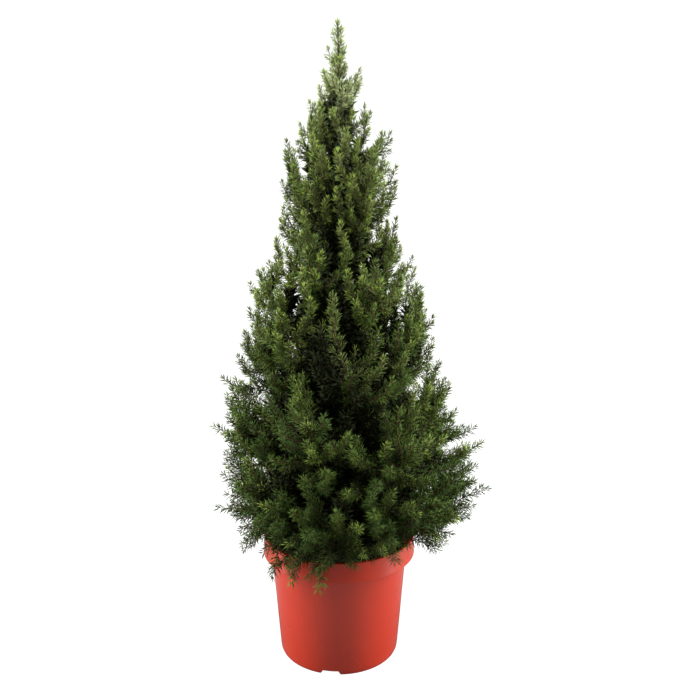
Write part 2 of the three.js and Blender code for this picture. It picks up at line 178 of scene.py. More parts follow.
# how far a limb strays from its place in the tier; the turn in radians
STRAY = {"turn": 0.16, "start": 0.4, "tip": 8}
LIMB = {"bend": 0.62, "bough_radius": 3.4, "stem_radius": 2.3, "joints": 17, "last_joint": 0.94}


def seeded(seed):
    """The same random numbers as the solids were grown with."""
    state = seed
    while True:
        state = (state * 1664525 + 1013904223) % 4294967296
        yield state / 4294967296


def lerp(a, b, t):
    return a + (b - a) * t


def offset(width, draw):
    """A random offset, up to half the width either way."""
    return width * (draw - 0.5)


def factor(width, draw):
    """A random factor round one, up to half the width either way."""
    return 1 - width / 2 + width * draw


def outward(turn):
    return Vector((math.cos(turn), math.sin(turn), 0))


def direction_of(turn, tilt):
    return outward(turn) * math.sin(tilt) + Vector((0, 0, math.cos(tilt)))


def on_curve(start, bend, end, t):
    return start * (1 - t) ** 2 + bend * (2 * t * (1 - t)) + end * t**2


def curve_points(start, bend, end, steps):
    return [on_curve(start, bend, end, i / steps) for i in range(steps + 1)]


def crown_radius(height):
    return float(np.interp(height, CROWN_HEIGHTS, CROWN_RADII))


def crown_centre(height):
    off = (height - BULGE["height"]) / BULGE["span"]
    return Vector((BULGE["reach"] * math.exp(-off * off), 0, height))


def in_crown(height, turn, radius):
    return crown_centre(height) + outward(turn) * radius


def tilt_at(height):
    part = (CROWN_TOP - height) / (CROWN_TOP - CROWN_LOW)
    return math.radians(lerp(TILT["top"], TILT["skirt"], max(part, 0) ** TILT["power"]))


def trunk_axis(height):
    up = 2 * math.pi * (height - SOIL_TOP)
    x, y = (TRUNK["sway"] * math.sin(up / TRUNK[wave]) for wave in ("wave_x", "wave_y"))
    return Vector((x, y, height))


def trunk_radius(height):
    up = height - SOIL_TOP
    plain = lerp(TRUNK["base"], TRUNK["tip"], up / (TRUNK["top"] - SOIL_TOP))
    return plain + TRUNK["flare"] * math.exp(-up / TRUNK["flare_height"])


def limb_radius(start):
    """A limb's radius at the trunk: a bough, which is bare up to its start, is thicker."""
    return LIMB["bough_radius"] if start else LIMB["stem_radius"]


class Limb:
    """A curve from the trunk out to its mass's tip, bare up to its start and then with shoots."""

    def __init__(self, foot, bend, tip, start, name):
        self.foot, self.bend, self.tip, self.start, self.name = foot, bend, tip, start, name
        steps = LIMB["joints"] - 1
        marks = [lerp(start, LIMB["last_joint"], i / steps) for i in range(steps + 1)]
        self.joints = [self.at(t) for t in marks]
        self.thick = limb_radius(start)

    def at(self, t):
        return on_curve(self.foot, self.bend, self.tip, t)


def leader_limb():
    foot = trunk_axis(TRUNK["top"])
    foot.z = TRUNK["top"] + GAP
    tip = crown_centre(CROWN_TOP)
    return Limb(foot, (foot + tip) / 2, tip, 0, "leader")


def tier_limb(tier, i, random):
    side = 1 if i % 2 else -1
    turn = math.radians(tier["turn"] + 360 * i / tier["count"])
    turn += offset(STRAY["turn"], next(random))
    start = tier["start"] + STRAY["start"] * side * tier["spread"]
    height = tier["tip"] + side * tier["spread"] + offset(STRAY["tip"], next(random))
    tip = in_crown(height, turn, tier["fill"] * crown_radius(height))
    axis = trunk_axis(start)
    bend = axis.lerp(tip, LIMB["bend"])
    bend.z = lerp(start, height, tier["rise"])
    slant = abs(bend.z - start) / (bend - axis).length
    reach = trunk_radius(start) + GAP + limb_radius(tier["bough"]) * slant
    foot = axis + outward(turn) * reach
    return Limb(foot, bend, tip, tier["bough"], f"{tier['name']}_{i + 1}")


def grow_limbs():
    random = seeded(SEED)
    tiered = [tier_limb(tier, i, random) for tier in TIERS for i in range(tier["count"])]
    return [leader_limb()] + tiered


# ---- the shoots that the limbs carry; millimetres, and degrees for turns ----

# shoots placed one by one: turn, height and radius of the tip, and how far it tilts from upright
LONE_SHOOTS = [
    (181, 352, 142, 45),
    (176, 288, 158, 60),
    (184, 188, 152, 85),
    (178, 150, 127, 120),
    (-3, 292, 167, 50),
    (4, 266, 181, 55),
    (-2, 212, 186, 75),
    (2, 134, 138, 125),
    (-101, 130, 113, 163),
    (-118, 133, 112, 160),
    (-134, 132, 112, 158),
    (186, 676, 33, 12),
    (-4, 711, 25, 14),
    (175, 709, 15, 10),
    (2, 642, 60, 10),
    (179, 633, 60, 8),
]
RIM_SHOOTS = [
    (-84, 160, 102, 112),
    (-67, 160, 102, 112),
    (-51, 162, 102, 105),
    (-36, 160, 103, 105),
]
# the crest's grey-green is partly the leader's own colour and partly painted light, as the leader
# gets the most light
CREST = 668  # the leader's grey-green needles start here
DEPTH = 0.93  # of the crown, as a part of its width
HOLLOW = {"turn": -91, "across": 21, "height": 394, "up": 60}
# how far the crown hangs below the rim, and how much less towards the turn, which is in radians
HANG = {"low": 26, "less": 38, "turn": -0.6}
BARE_COLLAR = {"turn": -54, "across": 33, "above": 1, "slope": 0.25}
POT_CLEARANCE = {"above": 3, "beside": 1.5}
# a twig bends as little as it can, and seldom droops more than its drop
TWIG = {"bend": 0.6, "turn_cost": 90, "drop": 25, "step": 8, "fewest": 4}
# where the surface's spires stand, and how much chance moves and turns them, in radians
SPIRE = {
    "evenness": 26,
    "below_top": 22,
    "height": 24,
    "turn": 0.2,
    "proud": 2,
    "depth": 15,
    "tilt": 0.3,
    "aim": 0.5,
}
INNER = {
    "evenness": 16,
    "low": 165,
    "below_top": 75,
    "slim_above": 430,
    "fill": 0.8,
    "slim_fill": 0.66,
    "power": 0.68,
    "tilt": 0.6,
    "side_spacing": 1.3,
}
# side shoots: where the first one stands, how they grow with their place, and how they bend
SIDE = {
    "first": 15,
    "first_turns": 8,
    "growth": 0.22,
    "least": 4,
    "most": 17,
    "size_spread": 0.5,
    "space_spread": 0.4,
    "splay": 0.75,
    "end_splay": 0.25,
    "bend": 0.45,
    "end": 0.6,
    "steps": 3,
}
# shoots are lighter higher up, partly from the crown's paler growth there and partly as painted
# light, where the upper crown gets more light; chance decides which have bright tips
SHADE = {"from": 250, "over": 400, "spread": 0.75, "mid": 0.12, "pale": 0.62}
BRIGHT = {"share": 0.24, "high_share": 0.3, "high": 450, "sides": 0.6}
# how far back shoots are clad, as a part of a spire's clad length
REACH = {"lone": 0.6, "rim": 0.4, "limb": 1.2, "spread": 0.4}
ALL_CLAD = 99  # longer than any side shoot
LEADER_FULLNESS = 1.4
LIMB_STEPS = 14


def main_twig(limbs, tip, direction):
    """A twig's points, from the limb that can carry it with the least bend, out to its tip."""

    def cost(joint):
        run = tip - joint
        total = run.length + TWIG["turn_cost"] * (1 - run.normalized().dot(direction))
        return total + (joint.z - tip.z if joint.z > tip.z + TWIG["drop"] else 0)

    joint = min((joint for limb in limbs for joint in limb.joints), key=cost)
    run = (tip - joint).length
    bend = tip - direction * (TWIG["bend"] * run)
    return curve_points(joint, bend, tip, max(TWIG["fewest"], int(run / TWIG["step"])))


def clears_pot(points):
    return all(
        p.z > RIM_TOP + POT_CLEARANCE["above"]
        or math.hypot(p.x, p.y) > COLLAR_RADIUS + POT_CLEARANCE["beside"]
        for p in points
    )


def spread_heights(number, low, high, evenness):
    """Heights from low to high, which lie closer where the crown is wide."""
    covered = np.cumsum([crown_radius(h) + evenness for h in range(low, high)])
    wanted = (np.arange(number) + 0.5) / number * covered[-1]
    return low + np.searchsorted(covered, wanted)


def spire_tip(height, turn, radius):
    """A place in the crown, which is a little less deep than it is wide, as its solids are."""
    tip = in_crown(height, turn, radius)
    tip.y *= DEPTH
    return tip


def in_hollow(height, turn):
    """Whether a place on the crown's surface lies in its dark hollow, where few spires stand."""
    across = (math.degrees(turn) - HOLLOW["turn"] + 180) % 360 - 180
    up = height - HOLLOW["height"]
    return (across / HOLLOW["across"]) ** 2 + (up / HOLLOW["up"]) ** 2 < 1


def lowest_tip(turn):
    """How low the crown hangs: over the rim all round, but less far at the front right."""
    return RIM_TOP - HANG["low"] + HANG["less"] * max(0, math.cos(turn - HANG["turn"]))


def hides_collar(tip):
    """Whether a tip hangs in front of the collar at the front right, where the collar is bare."""
    turn = math.degrees(math.atan2(tip.y, tip.x))
    beyond = math.hypot(tip.x, tip.y) - COLLAR_RADIUS
    lowest = RIM_TOP + BARE_COLLAR["above"] + BARE_COLLAR["slope"] * beyond
    return abs(turn - BARE_COLLAR["turn"]) < BARE_COLLAR["across"] and tip.z < lowest


def crown_tips(number, random):
    """The tips of the spires that make the crown's surface, and how they lean."""
    high = CROWN_TOP - SPIRE["below_top"]
    for k, height in enumerate(spread_heights(number, CROWN_LOW, high, SPIRE["evenness"])):
        height = height + offset(SPIRE["height"], random.random())
        turn = k * GOLDEN + offset(SPIRE["turn"], random.random())
        if in_hollow(height, turn) or height < lowest_tip(turn):
            continue
        radius = crown_radius(height) + SPIRE["proud"] - SPIRE["depth"] * random.random()
        tilt = tilt_at(height) + offset(SPIRE["tilt"], random.random())
        aim = direction_of(turn + offset(SPIRE["aim"], random.random()), tilt)
        yield spire_tip(height, turn, max(radius, 1)), aim


def inner_tips(number, random):
    """The tips of the old shoots that fill the crown behind its surface."""
    high = CROWN_TOP - INNER["below_top"]
    for k, height in enumerate(spread_heights(number, INNER["low"], high, INNER["evenness"])):
        turn = k * GOLDEN + random.random()
        fill = INNER["fill"] if height < INNER["slim_above"] else INNER["slim_fill"]
        radius = fill * random.random() ** INNER["power"] * crown_radius(height)
        yield spire_tip(height, turn, radius), direction_of(turn, INNER["tilt"] * tilt_at(height))


def side_shoots(path, clad, spacing, fullness, random):
    """The short shoots that stand off a spire, longest low down, and bend up along it."""
    back = [np.array(p) for p in path][::-1]
    run, next_at, k = 0.0, SIDE["first"], int(random.random() * SIDE["first_turns"])
    for a, b in zip(back, back[1:]):
        step = float(np.linalg.norm(b - a))
        axis = Vector(a - b).normalized()
        while next_at < min(run + step, clad):
            foot = Vector(a + (b - a) * (next_at - run) / step)
            level = axis.orthogonal().normalized()
            level.rotate(Quaternion(axis, k * GOLDEN))
            size = min(SIDE["growth"] * next_at + SIDE["least"], SIDE["most"]) * fullness
            size *= factor(SIDE["size_spread"], random.random())
            bend = foot + (axis + level * SIDE["splay"]).normalized() * (SIDE["bend"] * size)
            tip = bend + (level * SIDE["end_splay"] + axis).normalized() * (SIDE["end"] * size)
            yield curve_points(foot, bend, tip, SIDE["steps"])
            next_at += spacing * factor(SIDE["space_spread"], random.random())
            k += 1
        run += step
        if run > clad:
            return


class Shoot:
    """A shoot's points, how far back it is clad with green needles, its shade and its fullness."""

    def __init__(self, points, clad, shade, is_main, is_inner, is_bright, fullness=1.0):
        self.points, self.clad, self.shade, self.fullness = points, clad, shade, fullness
        self.is_main, self.is_inner, self.is_bright = is_main, is_inner, is_bright


def shade_at(tip, random):
    """How light a shoot is, from 0 deep to 3 at the crest: by its height and by chance. The lighter
    shades higher up are partly painted light.
    """
    if tip.z > CREST:
        return 3
    part = (tip.z - SHADE["from"]) / SHADE["over"] + offset(SHADE["spread"], random.random())
    return int(part > SHADE["mid"]) + int(part > SHADE["pale"])


def grow_shoots(sizes):
    """Every shoot, each one followed by its side shoots."""
    random = np.random.RandomState(SEED)
    limbs = grow_limbs()
    clad, spacing = sizes.spire_clad / MM, sizes.side_spacing / MM
    shoots = []

    def add(path, reach, is_inner=False, fullness=1.0, is_placed=False):
        shade = shade_at(path[-1], random)
        share = BRIGHT["share"] + BRIGHT["high_share"] * (BRIGHT["high"] < path[-1].z < CREST)
        is_bright = random.random() < share
        grown = [Shoot(path, reach, shade, True, is_inner, is_bright, fullness)]
        apart = spacing * (INNER["side_spacing"] if is_inner else 1)
        for side in side_shoots(path, reach, apart, fullness, random):
            if clears_pot(side):
                has_bright_tip = is_bright and random.random() < BRIGHT["sides"]
                grown.append(Shoot(side, ALL_CLAD, shade, False, is_inner, has_bright_tip))
        if is_placed or not hides_collar(path[-1]):
            shoots.extend(grown)

    def add_placed(rows, reach):
        for turn, height, radius, tilt in rows:
            turn = math.radians(turn)
            tip = outward(turn) * radius + Vector((0, 0, height))
            path = main_twig(limbs, tip, direction_of(turn, math.radians(tilt)))
            add(path, reach * clad, is_placed=True)

    def add_grown(tips, is_inner):
        for tip, aim in tips:
            path = main_twig(limbs, tip, aim)
            if clears_pot(path):
                add(path, clad * factor(REACH["spread"], random.random()), is_inner)

    add_placed(LONE_SHOOTS, REACH["lone"])
    add_grown(crown_tips(sizes.spires, random), False)
    add_grown(inner_tips(sizes.inner_shoots, random), True)
    for limb in limbs:
        line = [limb.at(lerp(limb.start, 1, i / LIMB_STEPS)) for i in range(LIMB_STEPS + 1)]
        fullness = LEADER_FULLNESS if limb.name == "leader" else 1.0
        add(line, REACH["limb"] * clad, fullness=fullness)
    add_placed(RIM_SHOOTS, REACH["rim"])
    return shoots


# ---- needles and twigs, as meshes from arrays; millimetres ----

BANDS = ("inner", "deep", "mid", "pale", "crest", "tips")
INNER_BAND, TIP_BAND = BANDS.index("inner"), BANDS.index("tips")
# low shoots have longer and sparser needles that stand wider, and at every tip they close up
LOW = {"from": 480, "over": 300, "length": 0.26, "spacing": 0.28, "lean": 14, "close": 6}
TUFT = {"length": 3, "spacing": 0.5, "opens_over": 6}
GREEN_PART = 0.6  # of a shoot's clad length
LEAN = {"closed": 25, "opening": 30, "spread": 11}
NEEDLE_SIZE = {"high": 0.72, "closed": 0.72, "opening": 0.28, "spread": 0.13, "limit": 2}
# needles farther back along a shoot go one band darker: partly for their age, partly as painted
# shade deeper in the crown
OLDER_AND_SHADED = {"from": 0.55, "least": 0.7, "spread": 0.3}
BRIGHT_TIP = {"least": 6, "spread": 4}
TURN_SPREAD = 0.8  # radians
INNER_START = 0.3
# a needle's shoot direction is taken between a place ahead of it and one behind it
AHEAD, BEHIND = 2, 3
BLADE = {"belly": 0.42, "arch": 0.3, "curl": 0.1}
# old needles lie in broad dark mats round the trunk, where no light comes through; their dark
# colour is partly their own and partly painted shade
OLD_SHADE_MATS = {"core": 0.52, "length": 1.15, "core_length": 0.3, "core_width": 0.5}
# how far needles keep from the pot, and old ones from its rim
FREE = {"root": 1, "old_above": 8, "old_inside": 6}
TWIG_TAPER = {"main": 1.5, "side": 0.8, "end": 0.4}
THIRD_TURN = 2.1
NEARLY_UPRIGHT = 0.9


def mesh_object(name, points, faces):
    mesh = bpy.data.meshes.new(name)
    mesh.vertices.add(len(points))
    mesh.vertices.foreach_set("co", (np.asarray(points) * MM).astype(np.float32).ravel())
    corners = faces.shape[1]
    mesh.loops.add(faces.size)
    mesh.loops.foreach_set("vertex_index", faces.astype(np.int32).ravel())
    mesh.polygons.add(len(faces))
    mesh.polygons.foreach_set("loop_start", np.arange(0, faces.size, corners, dtype=np.int32))
    mesh.update(calc_edges=True)
    mesh.validate()
    piece = bpy.data.objects.new(name, mesh)
    bpy.context.scene.collection.objects.link(piece)
    return piece


def unit(vectors):
    return vectors / np.linalg.norm(vectors, axis=1, keepdims=True)


def square_to(tangents):
    """Two directions square to each tangent."""
    is_upright = np.abs(tangents[:, 2:3]) > NEARLY_UPRIGHT
    helper = np.where(is_upright, [[1.0, 0.0, 0.0]], [[0.0, 0.0, 1.0]])
    a = unit(np.cross(helper, tangents))
    return a, np.cross(tangents, a)


def sideways(tangents, turn):
    """A direction square to each tangent, turned about it."""
    a, b = square_to(tangents)
    return a * np.cos(turn) + b * np.sin(turn)


def places_along(path, along, at):
    return np.stack([np.interp(at, along, path[:, i]) for i in range(3)], 1)


def from_axis(points):
    return np.hypot(points[:, 0], points[:, 1])


def in_pot(points, margin=0):
    return (from_axis(points) < COLLAR_RADIUS + margin) & (points[:, 2] < RIM_TOP + margin)


def shoot_needles(shoot, sizes, random):
    """One shoot's needles: roots, directions, the shoot's tangents, lengths and shades."""
    path = np.array([tuple(p) for p in shoot.points])[::-1]
    steps = np.linalg.norm(np.diff(path, axis=0), axis=1)
    along = np.concatenate([[0], np.cumsum(steps)])
    green = 0 if shoot.is_inner else min(GREEN_PART * shoot.clad, along[-1])
    low = np.clip((LOW["from"] - path[0, 2]) / LOW["over"], 0, 1)
    spacing = sizes.needle_spacing / MM * (1 + LOW["spacing"] * low) / shoot.fullness**2
    tuft = np.arange(0, min(TUFT["length"], green), TUFT["spacing"] * spacing)
    fine = np.arange(TUFT["length"], green, spacing)
    coarse = np.arange(green + INNER_START, along[-1], sizes.inner_spacing / MM)
    at = np.concatenate([tuft, fine, coarse])
    n = len(at)
    ahead = places_along(path, along, np.maximum(at - AHEAD, 0))
    tangent = unit(ahead - places_along(path, along, at + BEHIND))
    turn = np.arange(n) * GOLDEN + random.random_sample(n) * TURN_SPREAD
    side = sideways(tangent, turn[:, None])
    open_by = np.clip(at / TUFT["opens_over"], 0, 1)
    lean = LEAN["closed"] + LOW["lean"] * low + (LEAN["opening"] - LOW["close"] * low) * open_by
    lean = np.radians(lean + LEAN["spread"] * random.standard_normal(n))[:, None]
    direction = tangent * np.cos(lean) + side * np.sin(lean)
    size = sizes.needle_length / MM * shoot.fullness * (NEEDLE_SIZE["high"] + LOW["length"] * low)
    size = size * (NEEDLE_SIZE["closed"] + NEEDLE_SIZE["opening"] * open_by)
    stray = random.standard_normal(n).clip(-NEEDLE_SIZE["limit"], NEEDLE_SIZE["limit"])
    size = size * (1 + NEEDLE_SIZE["spread"] * stray)
    band = np.full(n, shoot.shade + 1)
    # painted shade, partly: needles farther back along the shoot, deeper in the crown, go one band
    # darker
    older_and_shaded = OLDER_AND_SHADED["from"] * shoot.clad * (OLDER_AND_SHADED["least"] + OLDER_AND_SHADED["spread"] * random.random_sample())
    band[at > older_and_shaded] -= shoot.shade > 0
    # needles behind a shoot's green part take the dark inner colour, partly painted shade
    band[at > green] = INNER_BAND
    if shoot.is_bright:
        band[at < BRIGHT_TIP["least"] + BRIGHT_TIP["spread"] * random.random_sample()] = TIP_BAND
    return places_along(path, along, at), direction, tangent, size, band


def needle_arrays(shoots, sizes):
    """All shoots' needles, one array for each of what shoot_needles gives."""
    random = np.random.RandomState(SEED + 1)
    rows = [shoot_needles(shoot, sizes, random) for shoot in shoots]
    return [np.concatenate(column) for column in zip(*rows)]


def needles_mesh(name, place, direction, tangent, size, width):
    """Needles as slim closed blades of four faces, which curl a little towards the shoot's tip."""
    n = len(place)
    size, width = size[:, None], width[:, None]
    across = sideways(direction, np.arange(n)[:, None] * GOLDEN)
    lift = np.cross(direction, across)
    belly = place + direction * (BLADE["belly"] * size) + lift * (BLADE["arch"] * width)
    tip = place + direction * size + tangent * (BLADE["curl"] * size)
    points = np.stack([place, tip, belly + across * width / 2, belly - across * width / 2], 1)
    cell = np.array([(0, 2, 3), (1, 3, 2), (0, 1, 2), (0, 3, 1)])
    faces = (np.arange(n) * 4)[:, None, None] + cell[None]
    return mesh_object(name, points.reshape(-1, 3), faces.reshape(-1, 3))


def twigs_mesh(name, shoots, radius):
    """The shoots' own wood as slim three-sided tapering tubes."""
    points, faces, base = [], [], 0
    for shoot in shoots:
        line = np.array([tuple(p) for p in shoot.points])
        a, b = square_to(unit(np.gradient(line, axis=0)))
        n = len(line)
        start = TWIG_TAPER["main" if shoot.is_main else "side"]
        thick = radius * np.linspace(start, TWIG_TAPER["end"], n)[:, None]
        for k in range(3):
            turn = THIRD_TURN * k
            points.append(line + (a * math.cos(turn) + b * math.sin(turn)) * thick)
            low = base + k * n + np.arange(n - 1)
            high = base + (k + 1) % 3 * n + np.arange(n - 1)
            faces += [np.stack([low, high, high + 1], 1), np.stack([low, high + 1, low + 1], 1)]
        ends = base + n * np.arange(3)
        faces.append(np.array([ends[::-1], ends + n - 1]))
        base += 3 * n
    return mesh_object(name, np.concatenate(points), np.concatenate(faces))


# ---- modelling by hand ----


def clear_selection():
    if bpy.context.object and bpy.context.object.mode != "OBJECT":
        bpy.ops.object.mode_set(mode="OBJECT")
    bpy.ops.object.select_all(action="DESELECT")


def activate(piece):
    clear_selection()
    piece.select_set(True)
    bpy.context.view_layer.objects.active = piece


def apply_place(piece):
    activate(piece)
    bpy.ops.object.transform_apply(location=True, rotation=True, scale=True)


def apply_modifiers(piece):
    activate(piece)
    for modifier in list(piece.modifiers):
        bpy.ops.object.modifier_apply(modifier=modifier.name)


def settle(piece, sharp_angle=0.6):
    """Puts the piece's place into its mesh and smooths it but for its sharp edges."""
    apply_place(piece)
    bpy.ops.object.shade_smooth_by_angle(angle=sharp_angle)


def turned_shell(name, profile, sides):
    """A round closed shell: a disc, extruded and scaled from each profile point to the next."""
    (radius, height), *rest = profile
    clear_selection()
    bpy.ops.mesh.primitive_circle_add(
        vertices=sides, radius=radius, fill_type="NGON", location=(0, 0, height)
    )
    piece = bpy.context.object
    piece.name = piece.data.name = name
    bpy.ops.object.mode_set(mode="EDIT")
    bpy.ops.mesh.select_mode(type="FACE")
    bpy.ops.mesh.select_all(action="SELECT")
    for next_radius, next_height in rest:
        rise = (0, 0, next_height - height)
        bpy.ops.mesh.extrude_region_move(TRANSFORM_OT_translate={"value": rise})
        ratio = next_radius / radius
        bpy.ops.transform.resize(value=(ratio, ratio, 1), center_override=(0, 0, next_height))
        radius, height = next_radius, next_height
    bpy.ops.mesh.select_all(action="SELECT")
    bpy.ops.mesh.normals_make_consistent(inside=False)
    bpy.ops.object.mode_set(mode="OBJECT")
    return piece


def cut(piece, cutter):
    """Takes the cutter's shape out of the piece and removes the cutter."""
    modifier = piece.modifiers.new("cut", "BOOLEAN")
    modifier.operation, modifier.solver, modifier.object = "DIFFERENCE", "EXACT", cutter
    apply_modifiers(piece)
    bpy.data.objects.remove(cutter)


def roughen(piece, name, scale, detail, strength, mid_level):
    """Gives a piece a live relief of soft lumps."""
    lumps = bpy.data.textures.new(name, "CLOUDS")
    lumps.noise_scale, lumps.noise_depth = scale, detail
    relief = piece.modifiers.new(name, "DISPLACE")
    relief.texture, relief.strength, relief.mid_level = lumps, strength, mid_level
    relief.texture_coords = "LOCAL"
    return relief


# ---- materials ----


def node_group(name, inputs, outputs, build):
    """A shader node group with named sockets, made once."""
    if name in bpy.data.node_groups:
        return bpy.data.node_groups[name]
    tree = bpy.data.node_groups.new(name, "ShaderNodeTree")
    for socket_name, kind, default in inputs:
        socket = tree.interface.new_socket(name=socket_name, in_out="INPUT", socket_type=kind)
        socket.default_value = default
    for socket_name, kind in outputs:
        tree.interface.new_socket(name=socket_name, in_out="OUTPUT", socket_type=kind)
    entry, leave = tree.nodes.new("NodeGroupInput"), tree.nodes.new("NodeGroupOutput")
    build(tree, entry, leave)
    return tree


def noise(tree, vector, scale, detail, roughness=0.6):
    texture = tree.nodes.new("ShaderNodeTexNoise")
    texture.inputs["Detail"].default_value = detail
    texture.inputs["Roughness"].default_value = roughness
    tree.links.new(vector, texture.inputs["Vector"])
    tree.links.new(scale, texture.inputs["Scale"])
    return texture.outputs["Fac"]


def mottle_group():
    """Cloudy change of a colour and of roughness, as living or moulded surfaces have."""

    def build(tree, entry, leave):
        place = tree.nodes.new("ShaderNodeTexCoord").outputs["Object"]
        cloud = noise(tree, place, entry.outputs["Scale"], detail=4)
        spread = tree.nodes.new("ShaderNodeMapRange")
        spread.inputs["From Min"].default_value = 0.3
        spread.inputs["From Max"].default_value = 0.7
        tree.links.new(cloud, spread.inputs["Value"])
        mix = tree.nodes.new("ShaderNodeMix")
        mix.data_type = "RGBA"
        tree.links.new(spread.outputs["Result"], mix.inputs["Factor"])
        tree.links.new(entry.outputs["Colour A"], mix.inputs["A"])
        tree.links.new(entry.outputs["Colour B"], mix.inputs["B"])
        tree.links.new(mix.outputs["Result"], leave.inputs["Colour"])
        rough = tree.nodes.new("ShaderNodeMapRange")
        tree.links.new(cloud, rough.inputs["Value"])
        tree.links.new(entry.outputs["Roughness Low"], rough.inputs["To Min"])
        tree.links.new(entry.outputs["Roughness High"], rough.inputs["To Max"])
        tree.links.new(rough.outputs["Result"], leave.inputs["Roughness"])

    inputs = [
        ("Colour A", "NodeSocketColor", (0.5, 0.5, 0.5, 1)),
        ("Colour B", "NodeSocketColor", (0.4, 0.4, 0.4, 1)),
        ("Scale", "NodeSocketFloat", 40.0),
        ("Roughness Low", "NodeSocketFloat", 0.4),
        ("Roughness High", "NodeSocketFloat", 0.6),
    ]
    outputs = [("Colour", "NodeSocketColor"), ("Roughness", "NodeSocketFloat")]
    return node_group("Mottle", inputs, outputs, build)


COARSE_PART = 0.13  # the coarse relief's scale, as a part of the fine relief's


def grain_group():
    """Fine relief on coarser relief, as a height for a Bump node."""

    def build(tree, entry, leave):
        place = tree.nodes.new("ShaderNodeTexCoord").outputs["Object"]
        fine = noise(tree, place, entry.outputs["Scale"], detail=3)
        coarse_scale = tree.nodes.new("ShaderNodeMath")
        coarse_scale.operation = "MULTIPLY"
        coarse_scale.inputs[1].default_value = COARSE_PART
        tree.links.new(entry.outputs["Scale"], coarse_scale.inputs[0])
        coarse = noise(tree, place, coarse_scale.outputs[0], detail=2)
        both = tree.nodes.new("ShaderNodeMath")
        both.operation = "ADD"
        tree.links.new(fine, both.inputs[0])
        tree.links.new(coarse, both.inputs[1])
        tree.links.new(both.outputs[0], leave.inputs["Height"])

    inputs = [("Scale", "NodeSocketFloat", 800.0)]
    return node_group("Grain", inputs, [("Height", "NodeSocketFloat")], build)


def group_node(tree, group, values):
    node = tree.nodes.new("ShaderNodeGroup")
    node.node_tree = group
    for name, value in values.items():
        node.inputs[name].default_value = value
    return node


def shaded(c, factor):
    return (c[0] * factor, c[1] * factor, c[2] * factor, 1)


def grey(value):
    return (value, value, value, 1)


def surface(name, base, other, scale, rough, grain, strength, distance):
    """A Principled material whose colour, roughness and relief vary over the surface."""
    material = bpy.data.materials.new(name)
    material.use_nodes = True
    tree = material.node_tree
    shader = tree.nodes["Principled BSDF"]
    mottle = group_node(
        tree,
        mottle_group(),
        {
            "Colour A": base,
            "Colour B": other,
            "Scale": scale,
            "Roughness Low": rough[0],
            "Roughness High": rough[1],
        },
    )
    relief = group_node(tree, grain_group(), {"Scale": grain})
    bump = tree.nodes.new("ShaderNodeBump")
    bump.inputs["Strength"].default_value = strength
    bump.inputs["Distance"].default_value = distance
    tree.links.new(relief.outputs["Height"], bump.inputs["Height"])
    tree.links.new(mottle.outputs["Colour"], shader.inputs["Base Color"])
    tree.links.new(mottle.outputs["Roughness"], shader.inputs["Roughness"])
    tree.links.new(bump.outputs["Normal"], shader.inputs["Normal"])
    return material, shader


def mottled(name, c, light, dark, **finish):
    """A surface that varies between a lighter and a darker shade of one colour."""
    return surface(name, shaded(c, light), shaded(c, dark), **finish)


def red_plastic(c):
    finish = dict(scale=35, rough=(0.22, 0.3), grain=900, strength=0.03, distance=0.0002)
    material, shader = mottled("red_plastic", c, light=1, dark=0.93, **finish)
    shader.inputs["Coat Weight"].default_value = 0.38
    shader.inputs["Coat Roughness"].default_value = 0.24
    return material


def crumbly_compost(c):
    finish = dict(scale=220, rough=(0.85, 0.98), grain=700, strength=0.7, distance=0.002)
    return mottled("compost", c, light=1.5, dark=0.5, **finish)[0]


def rough_bark(c):
    finish = dict(scale=320, rough=(0.75, 0.95), grain=900, strength=0.6, distance=0.0012)
    return mottled("bark", c, light=1.3, dark=0.5, **finish)[0]


def twig_bark(c):
    finish = dict(scale=300, rough=(0.6, 0.8), grain=1200, strength=0.4, distance=0.0006)
    return mottled("twig_bark", c, light=1.25, dark=0.6, **finish)[0]


def waxy_needles(name, c):
    finish = dict(scale=160, rough=(0.5, 0.65), grain=1500, strength=0.15, distance=0.0003)
    material, shader = mottled(name, c, light=1.15, dark=0.8, **finish)
    shader.inputs["Specular IOR Level"].default_value = 0.14
    return material


def white_to_camera(tree, strength_socket, unseen):
    """Gives full strength where the camera looks and less where only light comes from."""
    seen = tree.nodes.new("ShaderNodeLightPath").outputs["Is Camera Ray"]
    strength = tree.nodes.new("ShaderNodeMapRange")
    strength.inputs["To Min"].default_value = unseen
    strength.inputs["To Max"].default_value = 1.0
    tree.links.new(seen, strength.inputs["Value"])
    tree.links.new(strength.outputs["Result"], strength_socket)


def finish_piece(piece, material, nodes):
    piece.data.materials.clear()
    piece.data.materials.append(material)
    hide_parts(*nodes)
    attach(piece, "root")


# ---- operators; metres ----

# the pot's parts as shares of its collar's radius, and of its height for the collar's lower edge
POT = {"boss": 0.274, "boss_foot": 0.295, "foot": 0.79, "body_top": 0.9, "collar_low": 0.844}
BASE = {"lift": 0.005, "ring": 0.004, "ring_slope": 0.001, "rounding": 0.0026, "facet": 0.0008}
INSIDE = {"collar_wall": 0.004, "step": 0.002, "foot": 0.0006, "floor": 0.008}
WALL_RINGS = (0.05, 0.96, 1)
BEAD_SLOPE = 3.7
NOTCH = {
    "count": 3,
    "turn": -97.4,
    "low_width": 0.028,
    "high_width": 0.019,
    "height": 0.0056,
    "below": 0.002,
    "depth": 0.012,
}
DRAIN_HOLE = {"count": 6, "turn": 30, "radius": 0.005, "depth": 0.03, "from_axis": 0.048}
COMPOST = {
    "sides": 120,
    "wall_height": 0.130,
    "wall_flare": 0.0105,
    "clearance": 0.0005,
    "edge_width": 0.006,
    "edge_height": 0.003,
    "under_top": 0.001,
    "rings": 26,
}


def all_round(number, first_turn):
    """Evenly spaced turns in radians, from a first one in degrees."""
    return [math.radians(first_turn + 360 / number * i) for i in range(number)]


